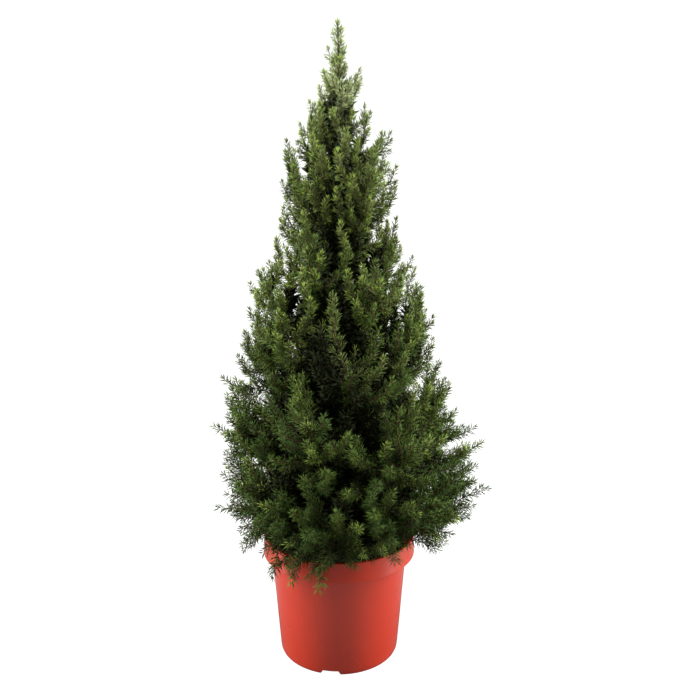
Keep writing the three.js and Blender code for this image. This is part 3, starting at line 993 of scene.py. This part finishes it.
def notch_cutter(turn, radius):
    """A wedge across the foot ring, wider at the bottom."""
    clear_selection()
    bpy.ops.mesh.primitive_cube_add(size=1, location=(0, 0, 0))
    wedge = bpy.context.object
    for v in wedge.data.vertices:
        is_low = v.co.z < 0
        width = NOTCH["low_width"] if is_low else NOTCH["high_width"]
        height = -NOTCH["below"] if is_low else NOTCH["height"]
        v.co = Vector((radius + v.co.x * NOTCH["depth"], v.co.y * width, height))
    wedge.rotation_euler.z = turn
    apply_place(wedge)
    return wedge


def drain_cutter(turn):
    clear_selection()
    bpy.ops.mesh.primitive_cylinder_add(
        vertices=32,
        radius=DRAIN_HOLE["radius"],
        depth=DRAIN_HOLE["depth"],
        location=tuple(outward(turn) * DRAIN_HOLE["from_axis"]),
    )
    return bpy.context.object


def pot_profile(wall, bead):
    """The pot's section, from the boss under its floor up the outside and down the inside."""
    r, top = POT_HIGH.x, POT_HIGH.z
    foot, body_top, collar_low = POT["foot"] * r, POT["body_top"] * r, POT["collar_low"] * top
    lift, ring, inner = BASE["lift"], BASE["ring"], r - INSIDE["collar_wall"]
    return [
        (POT["boss"] * r, 0),
        (POT["boss_foot"] * r, lift),
        (foot - ring - BASE["ring_slope"], lift),
        (foot - ring, 0),
        (foot - BASE["rounding"], 0),
        (foot - BASE["facet"], BASE["facet"]),
        (foot, BASE["rounding"]),
        *[(lerp(foot, body_top, t), t * collar_low) for t in WALL_RINGS],
        (r + bead, collar_low),
        (r + bead, collar_low + bead),
        (r, collar_low + BEAD_SLOPE * bead),
        (r, top),
        (inner, top),
        (inner, collar_low + INSIDE["collar_wall"]),
        (body_top - wall, collar_low + INSIDE["step"]),
        (foot - wall + INSIDE["foot"], INSIDE["floor"]),
    ]


class SPRUCE_OT_pot(bpy.types.Operator):
    """Models the nursery pot with its collar, foot ring, notches and drain holes"""

    bl_idname = "spruce.pot"
    bl_label = "Pot"

    def execute(self, context):
        sizes = context.scene.spruce_sizes
        profile = pot_profile(sizes.pot_wall, sizes.collar_bead)
        pot = turned_shell("nursery_pot", profile, sizes.pot_sides)
        for turn in all_round(NOTCH["count"], NOTCH["turn"]):
            cut(pot, notch_cutter(turn, POT["foot"] * POT_HIGH.x))
        for turn in all_round(DRAIN_HOLE["count"], DRAIN_HOLE["turn"]):
            cut(pot, drain_cutter(turn))
        bevel = pot.modifiers.new("edge", "BEVEL")
        bevel.width, bevel.segments = sizes.pot_edge, 3
        bevel.limit_method, bevel.angle_limit = "ANGLE", 0.5
        apply_modifiers(pot)
        settle(pot)
        finish_piece(pot, red_plastic(context.scene.spruce_colours.pot), ["pot"])
        return {"FINISHED"}


class SPRUCE_OT_compost(bpy.types.Operator):
    """Models the compost that fills the pot, with a crumbly top"""

    bl_idname = "spruce.compost"
    bl_label = "Compost"

    def execute(self, context):
        radius, low, high = SOIL_HIGH.x, SOIL_LOW.z, SOIL_HIGH.z
        wall_height, clearance = COMPOST["wall_height"], COMPOST["clearance"]
        slope = COMPOST["wall_flare"] / wall_height
        surface_level = high - COMPOST["under_top"]
        rings = np.linspace(0.88, 0.04, COMPOST["rings"])
        profile = [
            (radius - slope * (wall_height - low) - clearance, low),
            (radius - clearance, wall_height),
            (radius - clearance, high - COMPOST["edge_height"]),
            (radius - COMPOST["edge_width"], surface_level),
            *[(radius * part, surface_level) for part in rings],
        ]
        soil = turned_shell("compost", profile, COMPOST["sides"])
        relief = roughen(soil, "crumbs", scale=0.006, detail=4, strength=0.006, mid_level=0.55)
        top = soil.vertex_groups.new(name="top")
        lowest = surface_level - 0.5 * MM
        top.add([v.index for v in soil.data.vertices if v.co.z > lowest], 1.0, "REPLACE")
        relief.direction, relief.vertex_group = "Z", "top"
        apply_modifiers(soil)
        settle(soil, sharp_angle=1.2)
        material = crumbly_compost(context.scene.spruce_colours.soil)
        finish_piece(soil, material, ["soil"])
        return {"FINISHED"}


def limb_spline(curve, line, radii):
    spline = curve.splines.new("POLY")
    spline.points.add(len(line) - 1)
    for point, place, radius in zip(spline.points, line, radii):
        point.co = (*(place * MM), 1)
        point.radius = radius


class SPRUCE_OT_limbs(bpy.types.Operator):
    """Models the trunk with its root flare and the boughs, with bark relief"""

    bl_idname = "spruce.limbs"
    bl_label = "Trunk and boughs"

    trunk_step = 3.0
    bark_depth = 0.4
    limb_steps = 26
    limb_end = 0.8

    def execute(self, context):
        clear_selection()
        bpy.ops.curve.primitive_bezier_curve_add()
        wood = bpy.context.object
        wood.name = "trunk_and_boughs"
        curve = wood.data
        curve.splines.clear()
        curve.bevel_depth, curve.bevel_resolution, curve.use_fill_caps = MM, 5, True
        heights = np.arange(SOIL_TOP + GAP, TRUNK["top"], self.trunk_step)
        radii = [trunk_radius(h) - self.bark_depth for h in heights]
        limb_spline(curve, [trunk_axis(h) for h in heights], radii)
        marks = [i / self.limb_steps for i in range(self.limb_steps + 1)]
        for limb in grow_limbs():
            radii = [lerp(limb.thick, self.limb_end, t) for t in marks]
            limb_spline(curve, [limb.at(t) for t in marks], radii)
        bpy.ops.object.convert(target="MESH")
        wood = bpy.context.object
        roughen(wood, "bark", scale=0.004, detail=3, strength=0.0012, mid_level=0.6)
        apply_modifiers(wood)
        settle(wood, sharp_angle=1.0)
        material = rough_bark(context.scene.spruce_colours.bark)
        finish_piece(wood, material, ["trunk", *BOUGH_NODES])
        return {"FINISHED"}


class SPRUCE_OT_foliage(bpy.types.Operator):
    """Grows the twigs and the needles on from the limbs"""

    bl_idname = "spruce.foliage"
    bl_label = "Twigs and needles"

    most = 48000  # needles in one piece, so that it stays under 200,000 triangles

    def execute(self, context):
        sizes, colours = context.scene.spruce_sizes, context.scene.spruce_colours
        shoots = grow_shoots(sizes)
        twigs = twigs_mesh("twigs", shoots, sizes.twig_radius / MM)
        finish_piece(twigs, twig_bark(colours.twig), MASS_NODES)
        place, direction, tangent, size, band = needle_arrays(shoots, sizes)
        ends = place + direction * size[:, None]
        # old needles get the dark inner colour, partly painted shade; in the core they are broad
        # mats
        is_old_and_shaded = band == INNER_BAND
        clears_rim = place[:, 2] > RIM_TOP + FREE["old_above"]
        clears_rim |= from_axis(ends) < COLLAR_RADIUS - FREE["old_inside"]
        free = ~in_pot(place, FREE["root"]) & ~in_pot(ends) & (~is_old_and_shaded | clears_rim)
        crown = np.interp(place[:, 2], CROWN_HEIGHTS, CROWN_RADII)
        in_core = from_axis(place) < OLD_SHADE_MATS["core"] * crown
        size *= np.where(is_old_and_shaded, OLD_SHADE_MATS["length"] + OLD_SHADE_MATS["core_length"] * in_core, 1)
        old_shade_mat_width = sizes.inner_width * (1 + OLD_SHADE_MATS["core_width"] * in_core)
        width = np.where(is_old_and_shaded, old_shade_mat_width, sizes.needle_width) / MM
        for index, name in enumerate(BANDS):
            chosen = np.flatnonzero(free & (band == index))
            material = waxy_needles(f"{name}_needles", getattr(colours, name))
            for part in range(0, len(chosen), self.most):
                pick = chosen[part : part + self.most]
                arrays = [array[pick] for array in (place, direction, tangent, size, width)]
                piece = needles_mesh(f"needles_{name}_{part // self.most + 1}", *arrays)
                finish_piece(piece, material, MASS_NODES)
        return {"FINISHED"}


class SPRUCE_OT_stage(bpy.types.Operator):
    """Sets the pale sweep, the camera and the studio's lights"""

    bl_idname = "spruce.stage"
    bl_label = "Stage"

    # name, place, target, width, height and power
    softboxes = (
        ("left_softbox", (-1.4, -0.05, 0.8), (0, 0, 0.42), 1.0, 1.6, 50),
        ("right_softbox", (1.4, -0.05, 0.8), (0, 0, 0.42), 1.0, 1.6, 51),
        ("top_softbox", (0, -0.05, 1.9), (0, 0, 0.5), 1.2, 1.0, 46),
    )

    def execute(self, context):
        scene = context.scene
        self.sweep()
        self.camera(scene)
        for softbox in self.softboxes:
            self.softbox(scene, *softbox)
        self.surroundings(scene)
        scene.view_settings.view_transform = "Standard"
        return {"FINISHED"}

    def surroundings(self, scene):
        """White to look at, but dimmer as a light than as a backdrop."""
        world = bpy.data.worlds.new("studio")
        scene.world = world
        world.use_nodes = True
        background = world.node_tree.nodes["Background"]
        background.inputs["Color"].default_value = grey(1)
        white_to_camera(world.node_tree, background.inputs["Strength"], unseen=0.15)

    def sweep(self):
        """A floor that curves up into a backdrop, and looks white without lighting the plant."""
        clear_selection()
        bpy.ops.mesh.primitive_plane_add(size=1, location=(0, 0, 0))
        floor = bpy.context.object
        floor.name = "floor"
        width, front, back, height = 12.0, -2.5, 2.2, 3.2
        for v in floor.data.vertices:
            v.co = Vector((v.co.x * width, back if v.co.y > 0 else front, 0))
        bpy.ops.object.mode_set(mode="EDIT")
        bpy.ops.mesh.select_mode(type="EDGE")
        bpy.ops.mesh.select_all(action="DESELECT")
        bpy.ops.object.mode_set(mode="OBJECT")
        for edge in floor.data.edges:
            edge.select = all(floor.data.vertices[i].co.y > 0 for i in edge.vertices)
        bpy.ops.object.mode_set(mode="EDIT")
        bpy.ops.mesh.extrude_region_move(TRANSFORM_OT_translate={"value": (0, 0, height)})
        bpy.ops.object.mode_set(mode="OBJECT")
        bend = floor.modifiers.new("sweep", "BEVEL")
        bend.width, bend.segments, bend.limit_method = 1.2, 24, "ANGLE"
        apply_modifiers(floor)
        settle(floor, sharp_angle=1.2)
        finish = dict(scale=2, rough=(0.8, 0.9), grain=50, strength=0.02, distance=0.001)
        material, shader = surface("pale_sweep", grey(0.15), grey(0.145), **finish)
        shader.inputs["Emission Color"].default_value = grey(1)
        white_to_camera(material.node_tree, shader.inputs["Emission Strength"], unseen=0)
        floor.data.materials.append(material)

    def camera(self, scene):
        data = bpy.data.cameras.new("camera")
        data.lens, data.sensor_width, data.sensor_fit = 38.17, 36, "HORIZONTAL"
        camera = bpy.data.objects.new("camera", data)
        camera.location = (0.0114, -0.885, 0.545)
        camera.rotation_euler = (math.radians(80), 0, 0)
        scene.collection.objects.link(camera)
        scene.camera = camera

    def softbox(self, scene, name, place, target, width, height, power):
        data = bpy.data.lights.new(name, "AREA")
        data.shape, data.size, data.size_y, data.energy = "RECTANGLE", width, height, power
        lamp = bpy.data.objects.new(name, data)
        lamp.location = place
        lamp.rotation_euler = (Vector(target) - Vector(place)).to_track_quat("-Z", "Y").to_euler()
        scene.collection.objects.link(lamp)


class SPRUCE_PT_panel(bpy.types.Panel):
    """Lists the plant's parts in the sidebar"""

    bl_idname = "SPRUCE_PT_panel"
    bl_label = "Potted spruce"
    bl_space_type = "VIEW_3D"
    bl_region_type = "UI"
    bl_category = "Spruce"

    def draw(self, context):
        for operator in OPERATORS:
            self.layout.operator(operator.bl_idname)


OPERATORS = (SPRUCE_OT_pot, SPRUCE_OT_compost, SPRUCE_OT_limbs, SPRUCE_OT_foliage, SPRUCE_OT_stage)
CLASSES = (SpruceSizes, SpruceColours, *OPERATORS, SPRUCE_PT_panel)


def register():
    for cls in CLASSES:
        bpy.utils.register_class(cls)
    bpy.types.Scene.spruce_sizes = bpy.props.PointerProperty(type=SpruceSizes)
    bpy.types.Scene.spruce_colours = bpy.props.PointerProperty(type=SpruceColours)


def unregister():
    del bpy.types.Scene.spruce_colours
    del bpy.types.Scene.spruce_sizes
    for cls in reversed(CLASSES):
        bpy.utils.unregister_class(cls)


def main():
    register()
    bpy.ops.spruce.pot()
    bpy.ops.spruce.compost()
    bpy.ops.spruce.limbs()
    bpy.ops.spruce.foliage()
    bpy.ops.spruce.stage()


if __name__ == "__main__":
    main()
